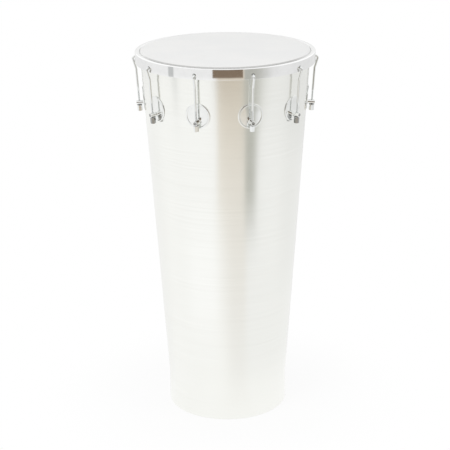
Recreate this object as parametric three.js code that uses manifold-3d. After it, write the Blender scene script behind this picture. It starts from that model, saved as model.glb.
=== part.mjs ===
// Timbal: a tall, cone-shaped, single-headed drum, tuned by ten hooks around its head.
// Millimetres, +Z up. The origin is the centre of the foot, on the floor.

import * as THREE from 'three';
import { mergeVertices } from 'three/addons/utils/BufferGeometryUtils.js';
import Module from 'manifold-3d';

const wasm = await Module();
wasm.setup();

// Shell: spun sheet, straight at the foot, then a cone up to a bearing edge that is rolled inward.
const shellHeight = 795;
const shellWall = 1.5;
const footRadius = 130;
const footStraight = 66;
const footBendRadius = 260;
const footFlangeWidth = 7;
const footInnerRound = 1;
const mouthRadius = 178.7;
const bearingRollRadius = 5;
const bearingRollSweep = THREE.MathUtils.degToRad(235);

// Head: a film over the bearing edge, locked into a channel ring that the rim pushes down.
const filmThickness = 0.4;
const filmCrownRise = 2.2;
const fleshHoopClearance = 0.7;
const fleshHoopWidth = 7;
const fleshHoopHeight = 9;
const fleshHoopLipWall = 0.8;
const fleshHoopLipDrop = 5.8;
const fleshHoopSlotWidth = 1.3;
const fleshHoopSlotFloor = 1;

// Rim: a deep steel band with an inward flange on top, and a round hole for each hook.
const rimWall = 1.5;
const rimClearance = 1.1;
const rimFlangeSetback = 0.2;
const rimInnerRound = 0.3;
const rimBandBelowHole = 5.2;
const rimLowerEdgeRound = 0.5;

// Tension hooks.
const stationCount = 10;
const hookRodRadius = 2.4;
const hookRimClearance = 2.2;
const hookTipClearance = 1.1;
const hookHoopClearance = 0.6;
const hookHoleClearance = 1.2;
const hookTipLength = 2.5;
const hookKneeRadius = 14;
const hookKneeLean = THREE.MathUtils.degToRad(17);
const hookTailLength = 0.8;

// Lugs, each with a post that stands out from the shell and holds a hook's rod.
const lugDrop = 100.4;
const lugRadius = 26.5;
const lugLipHeight = 2;
const lugLipWidth = 4.6;
const lugDishHeight = 1.1;
const lugRodClearance = 6.6;
const postDrop = 11;
const postWall = 1.95;
const postBeyondRod = 6.5;
const postEndRound = 1.2;
const postDimpleRadius = 2.6;
const postDimpleDepth = 0.7;
const postSeatCut = 0.6;
const postWeb = 1.2;

// Washer, nut and lug screw.
const washerFace = 2.8;
const washerThickness = 1.2;
const nutWall = 2.06;
const nutHeight = 12;
const screwShankRadius = 2.4;
const screwEndGap = 0.8;
const screwHeadOverhang = 2.1;
const screwHeadHeight = 2.6;
const screwHeadRound = 1;

// Clearances, and the overrun of a cutting body past what it cuts.
const seatGap = 0.3;
const rodBoreClearance = 0.4;
const cutOverrun = 6;

// Facets: counts of segments, with the same count on everything round the drum's axis.
const drumSegments = 60;
const rollSteps = 3;
const filmSteps = 4;
const bendSteps = 3;
const roundSteps = 2;
const lugSegments = 20;
const postSegments = 12;
const boreSegments = 10;
const washerSegments = 12;
const rodSides = 8;
const nutSides = 6;
const hookSteps = 8;
const kneeSteps = 3;

// Places that follow: the bearing edge, then the flesh hoop outside it, then the rim outside that.
const footEdgeRound = shellWall + footInnerRound;
const rollHeight = shellHeight - bearingRollRadius;
const rollCentreRadius = mouthRadius - bearingRollRadius;
const crownHeight = shellHeight + seatGap + filmThickness;
const rimTop = crownHeight - filmCrownRise;
const flangeUnderside = rimTop - rimWall;
const fleshHoopTop = flangeUnderside - seatGap;
const fleshHoopBottom = fleshHoopTop - fleshHoopHeight;
const fleshHoopInnerRadius = mouthRadius + fleshHoopClearance;
const fleshHoopOuterRadius = fleshHoopInnerRadius + fleshHoopWidth;
const rimInnerRadius = fleshHoopOuterRadius + rimClearance;
const rimRadius = rimInnerRadius + rimWall;
const rimShoulderRadius = rimWall + rimInnerRound;
const rimFlangeInnerRadius = fleshHoopInnerRadius + rimFlangeSetback;

// The hook's bend goes over the band, from outside the rim to inside it, just under the flesh hoop.
const hookRodOutside = rimRadius + hookRimClearance + hookRodRadius;
const hookRodInside = rimInnerRadius - hookTipClearance - hookRodRadius;
const hookBendRadius = (hookRodOutside - hookRodInside) / 2;
const hookBendMiddle = (hookRodOutside + hookRodInside) / 2;
const hookBendOutside = hookBendRadius + hookRodRadius;
const hookBendHeight = fleshHoopBottom - hookHoopClearance
  - Math.sqrt(hookBendOutside ** 2 - (hookBendMiddle - fleshHoopOuterRadius) ** 2);

// The hole lies where the bend crosses the middle of the band, and the band ends below it.
const bandMiddle = rimRadius - rimWall / 2;
const hookHoleRadius = hookRodRadius + hookHoleClearance;
const hookHoleHeight = hookBendHeight + Math.sqrt(hookBendRadius ** 2 - (hookBendMiddle - bandMiddle) ** 2);
const rimBottom = hookHoleHeight - hookHoleRadius - rimBandBelowHole;

// The rod stands off the shell, clear of the lug's lip, and everything under the lug is bored for it.
const lugHeight = rimTop - lugDrop;
const rodStandoff = lugLipHeight + lugRodClearance + hookRodRadius;
const rodBoreRadius = hookRodRadius + rodBoreClearance;
const postRadius = rodBoreRadius + postWall;
const postReach = rodStandoff + postBeyondRod;
const washerRadius = rodBoreRadius + washerFace;
const nutBoreRadius = hookRodRadius + seatGap;
const nutCornerRadius = (nutBoreRadius + nutWall) / Math.cos(Math.PI / nutSides);
const screwBoreRadius = screwShankRadius + seatGap;
const screwBoreDepth = rodStandoff - rodBoreRadius - postWeb;
const screwHeadRadius = screwShankRadius + screwHeadOverhang;

// Places along the side at a station, measured up from the middle of the lug.
const washerTop = -postDrop - postRadius + postSeatCut - seatGap;
const washerBottom = washerTop - washerThickness;
const nutTop = washerBottom - seatGap;
const nutBottom = nutTop - nutHeight;

// The cone's side is the line from the top of the straight foot that touches the bearing roll.
const rollOffset = rollCentreRadius - footRadius;
const rollRise = rollHeight - footStraight;
const rollDistance = Math.hypot(rollOffset, rollRise);
const sideLean = Math.atan2(rollOffset, rollRise) + Math.asin(bearingRollRadius / rollDistance);

const finishes = {
  shell: { color: 0xe4e4dc, roughness: 0.28, metalness: 1 },
  film: { color: 0xf0f0ee, roughness: 0.55, metalness: 0 },
  hoop: { color: 0xc9cacb, roughness: 0.4, metalness: 1 },
  chrome: { color: 0xdcdddd, roughness: 0.08, metalness: 1 },
  steel: { color: 0xb9babb, roughness: 0.3, metalness: 1 },
};

// Outside radius of the cone at a height.
function shellRadiusAt(height) {
  return footRadius + (height - footStraight) * Math.tan(sideLean);
}

// Points of an arc in a profile, from one angle to another, both ends included.
function arcPoints(centreX, centreY, radius, fromAngle, toAngle, steps) {
  const points = [];
  for (let step = 0; step <= steps; step += 1) {
    const angle = fromAngle + ((toAngle - fromAngle) * step) / steps;
    points.push(new THREE.Vector2(centreX + radius * Math.cos(angle), centreY + radius * Math.sin(angle)));
  }
  return points;
}

// A body of revolution about +Z from a profile of radius and height.
function turned(points, segments) {
  const geometry = new THREE.LatheGeometry(points, segments);
  geometry.rotateX(Math.PI / 2);
  return geometry;
}

// A closed ring about +Z: its profile comes back to its first point.
function turnedRing(points, segments) {
  return turned([...points, points[0].clone()], segments);
}

function solidOf(geometry) {
  const bare = geometry.clone();
  bare.deleteAttribute('normal');
  bare.deleteAttribute('uv');
  const merged = mergeVertices(bare);
  const mesh = new wasm.Mesh({
    numProp: 3,
    vertProperties: new Float32Array(merged.attributes.position.array),
    triVerts: new Uint32Array(merged.index.array),
  });
  mesh.merge();
  return new wasm.Manifold(mesh);
}

function geometryOf(solid) {
  const mesh = solid.getMesh();
  const geometry = new THREE.BufferGeometry();
  geometry.setAttribute('position', new THREE.BufferAttribute(mesh.vertProperties, 3));
  geometry.setIndex(new THREE.BufferAttribute(mesh.triVerts, 1));
  geometry.computeVertexNormals();
  return geometry;
}

// A sweep takes one step at each point of this path, so straight stretches need no extra steps.
class PointPath extends THREE.Curve {
  constructor(points) {
    super();
    this.points = points;
  }

  getPoint(share) {
    const place = share * (this.points.length - 1);
    const index = Math.min(Math.floor(place), this.points.length - 2);
    return this.points[index].clone().lerp(this.points[index + 1], place - index);
  }

  getPointAt(share) {
    return this.getPoint(share);
  }

  getTangentAt(share) {
    const index = Math.round(share * (this.points.length - 1));
    const before = this.points[Math.max(index - 1, 0)];
    const here = this.points[index];
    const after = this.points[Math.min(index + 1, this.points.length - 1)];
    const arriving = here.clone().sub(before).normalize();
    const leaving = after.clone().sub(here).normalize();
    return arriving.add(leaving).normalize();
  }
}

// The bend from the straight foot into the cone, on the outside face pushed out by an offset.
function footBendPoints(offset) {
  const centreRadius = footRadius + footBendRadius;
  const centreHeight = footStraight - footBendRadius * Math.tan(sideLean / 2);
  const radius = footBendRadius - offset;
  return arcPoints(centreRadius, centreHeight, radius, Math.PI, Math.PI - sideLean, bendSteps);
}

// The bearing roll, from the cone over its crest and down inside, with a point on the crest.
function rollPoints(radius) {
  return [
    ...arcPoints(rollCentreRadius, rollHeight, radius, -sideLean, Math.PI / 2, rollSteps),
    ...arcPoints(rollCentreRadius, rollHeight, radius, Math.PI / 2, bearingRollSweep, rollSteps).slice(1),
  ];
}

function shellProfile() {
  const bore = footRadius - shellWall;
  const flangeInner = footRadius - footFlangeWidth;
  const edgeCentre = footRadius - footEdgeRound;
  return [
    new THREE.Vector2(flangeInner, 0),
    ...arcPoints(edgeCentre, footEdgeRound, footEdgeRound, -Math.PI / 2, 0, roundSteps),
    ...footBendPoints(0),
    ...rollPoints(bearingRollRadius),
    ...rollPoints(bearingRollRadius - shellWall).reverse(),
    ...footBendPoints(-shellWall).reverse(),
    new THREE.Vector2(bore, footEdgeRound),
    new THREE.Vector2(edgeCentre, shellWall),
    new THREE.Vector2(flangeInner, shellWall),
  ];
}

// The space inside the shell's outside face, pushed out by an offset, for trimming what sits on it.
function shellEnvelope(offset) {
  const outward = new THREE.Vector2(Math.cos(sideLean), -Math.sin(sideLean));
  const top = new THREE.Vector2(shellRadiusAt(rollHeight), rollHeight).addScaledVector(outward, offset);
  return solidOf(turned([
    new THREE.Vector2(0, 0),
    new THREE.Vector2(footRadius + offset, 0),
    ...footBendPoints(offset),
    top,
    new THREE.Vector2(0, rollHeight),
  ], drumSegments));
}

// Placement of the radial plane at a station, with +X outward.
function stationAngle(index) {
  return -Math.PI / 2 + ((index + 0.5) * 2 * Math.PI) / stationCount;
}

// Placement on the shell's side inside a station: +X out of the sheet, +Z up the side.
const sidePlacement = new THREE.Matrix4().makeRotationY(sideLean);
sidePlacement.setPosition(shellRadiusAt(lugHeight), 0, lugHeight);
const sideInverse = sidePlacement.clone().invert();

function sidePoint(radius, height) {
  return new THREE.Vector3(radius, 0, height).applyMatrix4(sideInverse);
}

// A body of revolution about the side's +X, from points of distance out and radius.
function turnedOutward(points, segments, height) {
  const geometry = new THREE.LatheGeometry(points, segments);
  geometry.rotateZ(-Math.PI / 2);
  geometry.translate(0, 0, height);
  return geometry;
}

// A round column along the side's +X, between two distances out of the sheet.
function columnOutward(radius, fromDistance, toDistance, segments, height) {
  return turnedOutward([
    new THREE.Vector2(0, fromDistance),
    new THREE.Vector2(radius, fromDistance),
    new THREE.Vector2(radius, toDistance),
    new THREE.Vector2(0, toDistance),
  ], segments, height);
}

// A round bar up the side's +Z at the rod's distance from the shell.
function barAlongRod(radius, fromHeight, toHeight, segments) {
  const geometry = new THREE.CylinderGeometry(radius, radius, toHeight - fromHeight, segments);
  geometry.rotateX(Math.PI / 2);
  geometry.translate(rodStandoff, 0, (fromHeight + toHeight) / 2);
  return geometry;
}

function makeShell() {
  let shell = solidOf(turnedRing(shellProfile(), drumSegments));
  for (let index = 0; index < stationCount; index += 1) {
    const bore = columnOutward(screwBoreRadius, -cutOverrun, cutOverrun, boreSegments, -postDrop);
    bore.applyMatrix4(sidePlacement);
    bore.rotateZ(stationAngle(index));
    shell = shell.subtract(solidOf(bore));
  }
  return geometryOf(shell);
}

// The film leaves the bearing roll on the line that touches it and meets the slot of the flesh hoop.
function makeFilm() {
  const slotMiddle = fleshHoopInnerRadius + fleshHoopLipWall + fleshHoopSlotWidth / 2;
  const slotMouth = fleshHoopTop - fleshHoopLipDrop;
  const filmEnd = fleshHoopBottom + fleshHoopSlotFloor + seatGap;
  const middleRadius = bearingRollRadius + seatGap + filmThickness / 2;
  const across = slotMiddle - rollCentreRadius;
  const down = slotMouth - rollHeight;
  const leaving = Math.atan2(down, across) + Math.acos(middleRadius / Math.hypot(across, down));
  const face = (offset) => [
    ...arcPoints(rollCentreRadius, rollHeight, middleRadius + offset, leaving, Math.PI / 2, filmSteps),
    new THREE.Vector2(0, rollHeight + middleRadius + offset),
  ];
  const half = filmThickness / 2;
  return turned([
    ...face(-half).reverse(),
    new THREE.Vector2(slotMiddle - half, slotMouth),
    new THREE.Vector2(slotMiddle - half, filmEnd),
    new THREE.Vector2(slotMiddle + half, filmEnd),
    new THREE.Vector2(slotMiddle + half, slotMouth),
    ...face(half),
  ], drumSegments);
}

function makeFleshHoop() {
  const lipOuter = fleshHoopInnerRadius + fleshHoopLipWall;
  const slotOuter = lipOuter + fleshHoopSlotWidth;
  const slotFloor = fleshHoopBottom + fleshHoopSlotFloor;
  const lipTop = fleshHoopTop - fleshHoopLipDrop;
  return turnedRing([
    new THREE.Vector2(fleshHoopInnerRadius, fleshHoopBottom),
    new THREE.Vector2(fleshHoopOuterRadius, fleshHoopBottom),
    new THREE.Vector2(fleshHoopOuterRadius, fleshHoopTop),
    new THREE.Vector2(slotOuter, fleshHoopTop),
    new THREE.Vector2(slotOuter, slotFloor),
    new THREE.Vector2(lipOuter, slotFloor),
    new THREE.Vector2(lipOuter, lipTop),
    new THREE.Vector2(fleshHoopInnerRadius, lipTop),
  ], drumSegments);
}

function makeRim() {
  const shoulderCentre = rimRadius - rimShoulderRadius;
  const shoulderHeight = rimTop - rimShoulderRadius;
  let rim = solidOf(turnedRing([
    new THREE.Vector2(rimInnerRadius, rimBottom),
    new THREE.Vector2(rimRadius - rimLowerEdgeRound, rimBottom),
    new THREE.Vector2(rimRadius, rimBottom + rimLowerEdgeRound),
    ...arcPoints(shoulderCentre, shoulderHeight, rimShoulderRadius, 0, Math.PI / 2, bendSteps),
    new THREE.Vector2(rimFlangeInnerRadius, rimTop),
    new THREE.Vector2(rimFlangeInnerRadius, flangeUnderside),
    ...arcPoints(shoulderCentre, shoulderHeight, rimInnerRound, Math.PI / 2, 0, roundSteps),
  ], drumSegments));
  for (let index = 0; index < stationCount; index += 1) {
    const hole = new THREE.CylinderGeometry(hookHoleRadius, hookHoleRadius, 2 * cutOverrun, postSegments);
    hole.rotateZ(Math.PI / 2);
    hole.translate(rimRadius, 0, hookHoleHeight);
    hole.rotateZ(stationAngle(index));
    rim = rim.subtract(solidOf(hole));
  }
  return geometryOf(rim);
}

// The rod runs up the side, leans out at a knee to clear the rim, bends over and drops through its hole.
function makeHook() {
  const rodFoot = new THREE.Vector3(rodStandoff, 0, nutBottom - hookTailLength);
  const bend = arcPoints(hookBendMiddle, hookBendHeight, hookBendRadius, -hookKneeLean, Math.PI, hookSteps)
    .map((point) => sidePoint(point.x, point.y));
  const tip = sidePoint(hookRodInside, hookBendHeight - hookTipLength);
  // The leaning stretch drops from the bend to the rod's line, at its own lean less the side's.
  const kneeTurn = hookKneeLean - sideLean;
  const kneeHeight = bend[0].z - (bend[0].x - rodStandoff) / Math.tan(kneeTurn);
  const kneeStart = kneeHeight - hookKneeRadius * Math.tan(kneeTurn / 2);
  const kneeCentre = rodStandoff + hookKneeRadius;
  const knee = arcPoints(kneeCentre, kneeStart, hookKneeRadius, Math.PI, Math.PI - kneeTurn, kneeSteps)
    .map((point) => new THREE.Vector3(point.x, 0, point.y));
  const path = [rodFoot, ...knee, ...bend, tip];
  const section = new THREE.Shape(
    arcPoints(0, 0, hookRodRadius, 0, 2 * Math.PI, rodSides).slice(0, rodSides),
  );
  return new THREE.ExtrudeGeometry(section, {
    steps: path.length - 1,
    bevelEnabled: false,
    extrudePath: new PointPath(path),
  });
}

// A round plate that follows the shell, with a wide lip round a shallow dish, and a post that is bored for
// the rod and for its screw.
function makeLug() {
  const shellOut = (offset) => shellEnvelope(offset).transform(new Float32Array(sideInverse.elements));
  const column = (radius) => solidOf(columnOutward(radius, -cutOverrun, cutOverrun, lugSegments, 0));
  const dish = column(lugRadius - lugLipWidth).subtract(shellOut(lugDishHeight));
  const plate = column(lugRadius).intersect(shellOut(lugLipHeight)).subtract(dish);
  const postRoundStart = postReach - postEndRound;
  const post = turnedOutward([
    new THREE.Vector2(0, 0),
    new THREE.Vector2(postRadius, 0),
    ...arcPoints(postRadius - postEndRound, postRoundStart, postEndRound, 0, Math.PI / 2, roundSteps),
    new THREE.Vector2(postDimpleRadius, postReach),
    new THREE.Vector2(0, postReach - postDimpleDepth),
  ], postSegments, -postDrop);
  const screwBore = columnOutward(screwBoreRadius, -cutOverrun, screwBoreDepth, boreSegments, -postDrop);
  const rodBore = barAlongRod(
    rodBoreRadius,
    -postDrop - postRadius - cutOverrun,
    -postDrop + postRadius + cutOverrun,
    boreSegments,
  );
  const seatCutter = new THREE.BoxGeometry(2 * postReach, 2 * lugRadius, lugRadius);
  seatCutter.translate(
    rodStandoff - washerRadius - seatGap + postReach,
    0,
    -postDrop - postRadius + postSeatCut - lugRadius / 2,
  );
  return geometryOf(
    plate
      .add(solidOf(post).subtract(solidOf(seatCutter)))
      .subtract(solidOf(screwBore))
      .subtract(solidOf(rodBore))
      .subtract(shellOut(seatGap)),
  );
}

// Ring or hexagon with a bore for the rod, standing up the side from a height.
function boredPlate(outline, boreRadius, fromHeight, thickness) {
  const bore = arcPoints(0, 0, boreRadius, 2 * Math.PI, 0, boreSegments).slice(0, boreSegments);
  outline.holes.push(new THREE.Path(bore));
  const geometry = new THREE.ExtrudeGeometry(outline, { depth: thickness, bevelEnabled: false });
  geometry.translate(rodStandoff, 0, fromHeight);
  return geometry;
}

function makeWasher() {
  const outline = new THREE.Shape(
    arcPoints(0, 0, washerRadius, 0, 2 * Math.PI, washerSegments).slice(0, washerSegments),
  );
  return boredPlate(outline, rodBoreRadius, washerBottom, washerThickness);
}

function makeNut() {
  const outline = new THREE.Shape(
    arcPoints(0, 0, nutCornerRadius, 0, 2 * Math.PI, nutSides).slice(0, nutSides),
  );
  return boredPlate(outline, nutBoreRadius, nutBottom, nutHeight);
}

// Pan-headed screw, put in from inside the shell along the post.
function makeLugScrew() {
  const headSeat = -shellWall - seatGap;
  const headTop = headSeat - screwHeadHeight;
  const screwReach = screwBoreDepth - screwEndGap;
  return turnedOutward([
    new THREE.Vector2(0, headTop),
    new THREE.Vector2(screwHeadRadius - screwHeadRound, headTop),
    new THREE.Vector2(screwHeadRadius, headTop + screwHeadRound),
    new THREE.Vector2(screwHeadRadius, headSeat),
    new THREE.Vector2(screwShankRadius, headSeat),
    new THREE.Vector2(screwShankRadius, screwReach),
    new THREE.Vector2(0, screwReach),
  ], boreSegments, -postDrop);
}

function namedMesh(name, geometry, finish) {
  const mesh = new THREE.Mesh(geometry, new THREE.MeshStandardMaterial(finishes[finish]));
  mesh.name = name;
  return mesh;
}

const timbal = new THREE.Group();
timbal.add(namedMesh('shell', makeShell(), 'shell'));
timbal.add(namedMesh('drumhead_film', makeFilm(), 'film'));
timbal.add(namedMesh('flesh_hoop', makeFleshHoop(), 'hoop'));
timbal.add(namedMesh('rim', makeRim(), 'chrome'));

const stationPieces = [
  { name: 'hook', geometry: makeHook(), finish: 'chrome' },
  { name: 'lug', geometry: makeLug(), finish: 'chrome' },
  { name: 'washer', geometry: makeWasher(), finish: 'chrome' },
  { name: 'nut', geometry: makeNut(), finish: 'chrome' },
  { name: 'lug_screw', geometry: makeLugScrew(), finish: 'steel' },
];

for (let index = 0; index < stationCount; index += 1) {
  const station = new THREE.Group();
  station.rotation.z = stationAngle(index);
  const side = new THREE.Group();
  side.position.set(shellRadiusAt(lugHeight), 0, lugHeight);
  side.rotation.y = sideLean;
  for (const piece of stationPieces) {
    side.add(namedMesh(`${piece.name}_${index + 1}`, piece.geometry, piece.finish));
  }
  station.add(side);
  timbal.add(station);
}

export default timbal;
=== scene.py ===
import math

import bpy
import numpy as np
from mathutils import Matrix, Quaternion, Vector


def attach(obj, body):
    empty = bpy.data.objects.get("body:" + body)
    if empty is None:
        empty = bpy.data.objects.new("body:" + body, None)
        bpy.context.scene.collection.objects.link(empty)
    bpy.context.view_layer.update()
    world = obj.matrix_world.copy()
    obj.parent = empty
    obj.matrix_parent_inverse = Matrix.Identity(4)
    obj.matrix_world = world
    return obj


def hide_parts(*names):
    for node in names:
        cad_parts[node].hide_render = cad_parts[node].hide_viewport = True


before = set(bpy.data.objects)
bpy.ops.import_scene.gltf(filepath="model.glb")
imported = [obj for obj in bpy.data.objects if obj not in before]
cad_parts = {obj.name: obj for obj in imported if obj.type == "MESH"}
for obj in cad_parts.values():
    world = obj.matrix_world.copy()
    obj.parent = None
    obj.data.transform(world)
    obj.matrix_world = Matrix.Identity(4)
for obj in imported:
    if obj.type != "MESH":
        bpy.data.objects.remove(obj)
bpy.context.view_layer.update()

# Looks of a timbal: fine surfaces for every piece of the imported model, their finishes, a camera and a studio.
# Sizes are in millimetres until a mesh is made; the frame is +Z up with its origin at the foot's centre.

MM = 0.001
STATIONS = 10
FULL_TURN = 2 * math.pi

# Shell.
SHELL_HEIGHT = 795.0
SHELL_WALL = 1.5
FOOT_RADIUS = 130.0
FOOT_STRAIGHT = 66.0
FOOT_BEND = 260.0
FOOT_FLANGE = 7.0
FOOT_EDGE_ROUND = 2.5
FOOT_INNER_ROUND = 1.0
MOUTH_RADIUS = 178.7
ROLL_RADIUS = 5.0
ROLL_SWEEP = math.radians(235)

# Head and its hidden channel ring.
FILM_THICKNESS = 0.4
FILM_CROWN_RISE = 2.2
FILM_FULLNESS = 0.7
HOOP_INNER = 179.4
HOOP_OUTER = 186.4
HOOP_HEIGHT = 9.0
HOOP_LIP_WALL = 0.8
HOOP_LIP_DROP = 5.8
HOOP_SLOT_WIDTH = 1.3
HOOP_SLOT_FLOOR = 1.0
HOOP_EDGE = 0.25

# Rim.
RIM_OUTER = 189.0
RIM_INNER = 187.5
RIM_WALL = 1.5
RIM_FLANGE_INNER = 179.6
RIM_SHOULDER = 1.1
RIM_INNER_ROUND = 0.3
RIM_BELOW_HOLE = 5.2
RIM_LOWER_INNER_ROUND = 0.5
RIM_LOWER_OUTER_ROUND = 0.7
RIM_FLANGE_EDGE = 0.2

# Hooks.
ROD_RADIUS = 2.38
HOOK_OUTSIDE = 193.55
HOOK_INSIDE = 184.0
HOOK_HOOP_CLEARANCE = 0.6
HOOK_HOLE = 3.6
HOOK_TIP = 2.5
KNEE_RADIUS = 14.0
KNEE_LEAN = math.radians(17)
TAIL_LENGTH = 0.8
THREAD_PITCH = 25.4 / 24
THREAD_DEPTH = 0.55
THREAD_LENGTH = 45.0
ROD_CHAMFER = 0.7
ROD_CHAMFER_SINK = 0.2
TIP_ROUND = 0.9

# Lugs, washers, nuts and lug screws.
LUG_DROP = 100.4
LUG_RADIUS = 26.5
LUG_LIP_HEIGHT = 2.0
LUG_LIP_WIDTH = 4.6
LUG_LIP_RUN = 2.3
LUG_EDGE_RUN = 2.3
LUG_EDGE_DROP = 1.1
LUG_UNDER_EDGE = 0.25
LUG_UNDER_START = 0.6
LUG_MIDDLE = 0.5
LUG_DISH = 1.1
LUG_DOME = 0.5
ROD_STANDOFF = 11.0
POST_DROP = 11.0
POST_RADIUS = 4.75
POST_REACH = 17.5
POST_ROUND = 0.8
POST_FILLET = 1.3
POST_FILLET_SINK = 0.1
POST_FOOT = 0.6
DIMPLE_RADIUS = 3.2
DIMPLE_DEPTH = 1.1
DIMPLE_ROUND = 0.7
DIMPLE_SAG = 0.1
DIMPLE_FLOOR_SHARE = 0.55
SEAT_CUT = 0.6
ROD_BORE = 2.8
WASHER_RADIUS = 5.6
WASHER_THICKNESS = 1.2
WASHER_ROUNDS = (0.2, 0.3, 0.4, 0.2)
NUT_FLAT = 4.76
NUT_HEIGHT = 12.0
NUT_BORE = 2.5
NUT_FACE_SHARE = 0.955
NUT_SINK = 0.35
NUT_EDGE = 0.12
NUT_TURNS = (42, 39, 48, 10, 35, 50, 15, 9, 33, 52)
DARK_NUTS = (2, 6, 9)
SCREW_SHANK = 2.4
SCREW_BORE = 2.7
SCREW_BORE_DEPTH = 7.0
SCREW_REACH = 6.2
SCREW_POINT = 0.4
SCREW_HEAD = 4.5
SCREW_HEAD_HEIGHT = 2.6
SCREW_HEAD_ROUND = 1.4
SCREW_HEAD_EDGE = 0.15
SLOT_HALF_LENGTH = 2.3
SLOT_HALF_WIDTH = 0.42
SLOT_DEPTH = 1.5

# The gap between seated pieces, and how far the cutting bodies reach.
GAP = 0.3
CUT_OVERRUN = 6.0
ROD_BORE_REACH = 9.0
SEAT_HALF_WIDTH = 12.0
SEAT_OVERRUN = 4.0
SLOT_OVERRUN = 1.0

# Heights and radii that follow, and the lean of the side.
ROLL_Z = SHELL_HEIGHT - ROLL_RADIUS
ROLL_CENTRE = MOUTH_RADIUS - ROLL_RADIUS
RIM_TOP = SHELL_HEIGHT + GAP + FILM_THICKNESS - FILM_CROWN_RISE
HOOP_TOP = RIM_TOP - RIM_WALL - GAP
HOOP_BOTTOM = HOOP_TOP - HOOP_HEIGHT
LUG_Z = RIM_TOP - LUG_DROP
SIDE_LEAN = (math.atan2(ROLL_CENTRE - FOOT_RADIUS, ROLL_Z - FOOT_STRAIGHT)
             + math.asin(ROLL_RADIUS / math.hypot(ROLL_CENTRE - FOOT_RADIUS, ROLL_Z - FOOT_STRAIGHT)))
LUG_R = FOOT_RADIUS + (LUG_Z - FOOT_STRAIGHT) * math.tan(SIDE_LEAN)
BEND_RADIUS = (HOOK_OUTSIDE - HOOK_INSIDE) / 2
BEND_R = (HOOK_OUTSIDE + HOOK_INSIDE) / 2
BEND_Z = HOOP_BOTTOM - HOOK_HOOP_CLEARANCE - math.sqrt(
    (BEND_RADIUS + ROD_RADIUS) ** 2 - (BEND_R - HOOP_OUTER) ** 2)
HOLE_Z = BEND_Z + math.sqrt(BEND_RADIUS ** 2 - (BEND_R - RIM_OUTER + RIM_WALL / 2) ** 2)
RIM_BOTTOM = HOLE_Z - HOOK_HOLE - RIM_BELOW_HOLE
WASHER_TOP = -POST_DROP - POST_RADIUS + SEAT_CUT - GAP
WASHER_BOTTOM = WASHER_TOP - WASHER_THICKNESS
NUT_TOP = WASHER_BOTTOM - GAP
NUT_BOTTOM = NUT_TOP - NUT_HEIGHT

# Where shade is painted on a piece: the two ends of each soft edge, in millimetres, with shares and tones.
RECESS_DEPTH = (POST_REACH - 1.4, POST_REACH - 1.2)
RECESS_SIDE = (DIMPLE_RADIUS - 0.2, DIMPLE_RADIUS + 0.2)
RECESS_MIDDLE = (0.0, 2.2)
RECESS_MIDDLE_SHARE = 0.5
RIM_INSIDE_FROM = (181.4, 182.2)
RIM_INSIDE_TO = (RIM_OUTER - 0.8, RIM_OUTER - 0.5)
RIM_INSIDE_BELOW = (RIM_TOP - 1.9, RIM_TOP - 1.6)
# The dark tone of the shade that is painted onto plating.
PAINTED_SHADE_TONE = (0.28, 0.28, 0.275)
# The ring at the film's bend where shade is painted, and how strong it is at the back and in front.
FILM_SHADE_RING = (175.5, 177.5)
FILM_FRONT = (50.0, 120.0)
FILM_BACK_SHARE = 0.15
FILM_FRONT_SHARE = 0.9
FILM_PAINTED_SHADE = (0.5, 0.5, 0.49)


# Profiles.

def arc(centre_x, centre_y, radius, start, end, steps):
    """Points centre + radius * (cos a, sin a), with the angle a running evenly from start to end."""
    angles = np.linspace(start, end, steps + 1)
    return np.column_stack([centre_x + radius * np.cos(angles), centre_y + radius * np.sin(angles)])


def rounded(corners, radii, steps=6):
    """A closed outline with each corner replaced by an arc that touches both of its sides.

    At a corner the unit vectors u and v point along its two sides and w is the angle between them. The
    arc's centre lies on their bisector, radius / sin(w / 2) away, and it runs between the points
    radius / tan(w / 2) along each side.
    """
    here = np.asarray(corners, float)
    radii = np.broadcast_to(np.asarray(radii, float), len(here))[:, None]
    before, after = np.roll(here, 1, axis=0), np.roll(here, -1, axis=0)
    u = (before - here) / np.linalg.norm(before - here, axis=1, keepdims=True)
    v = (after - here) / np.linalg.norm(after - here, axis=1, keepdims=True)
    half = np.arccos(np.clip((u * v).sum(1, keepdims=True), -1, 1)) / 2
    bisector = (u + v) / np.linalg.norm(u + v, axis=1, keepdims=True)
    centre = here + bisector * radii / np.sin(half)
    start = here + u * radii / np.tan(half) - centre
    end = here + v * radii / np.tan(half) - centre
    sweep = (np.pi - 2 * half)[:, :, None]
    share = np.linspace(0, 1, steps + 1)[None, :, None]
    from_start = np.sin((1 - share) * sweep) * start[:, None]
    to_end = np.sin(share * sweep) * end[:, None]
    return (centre[:, None] + (from_start + to_end) / np.sin(sweep)).reshape(-1, 2)


# Surfaces.

def ring_faces(index, closed):
    """Faces between neighbouring rows and columns of a table of point numbers, whose columns go round."""
    upper = index if closed else index[:-1]
    lower = np.roll(index, -1, axis=0) if closed else index[1:]
    quads = [upper, lower, np.roll(lower, -1, axis=1), np.roll(upper, -1, axis=1)]
    return np.stack(quads, axis=-1).reshape(-1, 4)


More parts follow.
